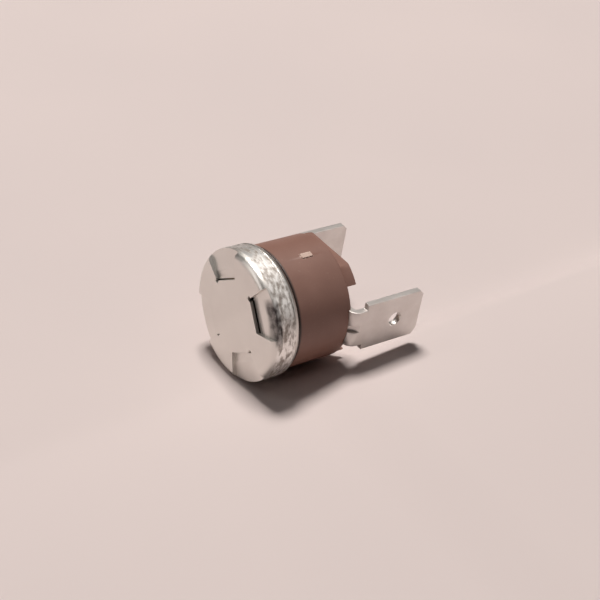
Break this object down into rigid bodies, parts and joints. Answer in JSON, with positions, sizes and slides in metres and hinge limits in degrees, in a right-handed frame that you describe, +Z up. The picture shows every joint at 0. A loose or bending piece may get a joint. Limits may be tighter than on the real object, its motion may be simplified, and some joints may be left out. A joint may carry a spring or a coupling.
{
  "type": "snap disc safety thermostat",
  "caption": "Round snap disc limit thermostat with a crimped aluminium sensing cap, a moulded case and two push-on tabs.",
  "frame": {"origin": "centre of the sensing face, on the cap's outer surface", "axes": "+Z up; the axis runs along +X from the sensing face to the tips of the tabs, and +Y runs from the near tab to the far tab, so that the blades stand on edge"},
  "size_m": [0.0217, 0.0164, 0.016],
  "materials": {
    "cap_aluminium": "drawn aluminium sheet, satin",
    "disc_bimetal": "rolled bimetal strip",
    "guide_phenolic": "moulded phenolic",
    "pin_ceramic": "ground steatite ceramic",
    "case_phenolic": "moulded brown phenolic, low sheen",
    "tab_brass": "tin plated brass sheet",
    "rivet_brass": "formed brass",
    "washer_steel": "zinc plated steel",
    "bar_brass": "bare brass sheet",
    "contact_silver": "silver alloy",
    "arm_copper": "copper alloy spring sheet"
  },
  "bodies": {
    "housing": {"sensing_cap": "cap_aluminium", "snap_disc": "disc_bimetal", "disc_guide": "guide_phenolic", "case": "case_phenolic", "near_tab": "tab_brass", "far_tab": "tab_brass", "near_rivet": "rivet_brass", "far_rivet": "rivet_brass", "near_washer": "washer_steel", "far_washer": "washer_steel", "fixed_bar": "bar_brass", "fixed_contact": "contact_silver", "arm_collar": "bar_brass", "arm_carrier": "bar_brass"},
    "pin": {"transfer_pin": "pin_ceramic"},
    "arm": {"contact_arm": "arm_copper", "moving_contact": "contact_silver"}
  },
  "joints": [
    {"name": "pin_slide", "type": "slide", "parent": "housing", "child": "pin", "axis": [1, 0, 0], "range_m": [0, 0.0004]},
    {"name": "arm_flex", "type": "hinge", "parent": "housing", "child": "arm", "pos_m": [0.00825, 0.0026, 0], "axis": [0, 0, 1], "range_deg": [0, 8.8], "stiffness_Nm_per_rad": 0.005}
  ],
  "couplings": [
    {"joint": "arm_flex", "follows": "pin_slide", "rad_per_m": 381.6}
  ]
}
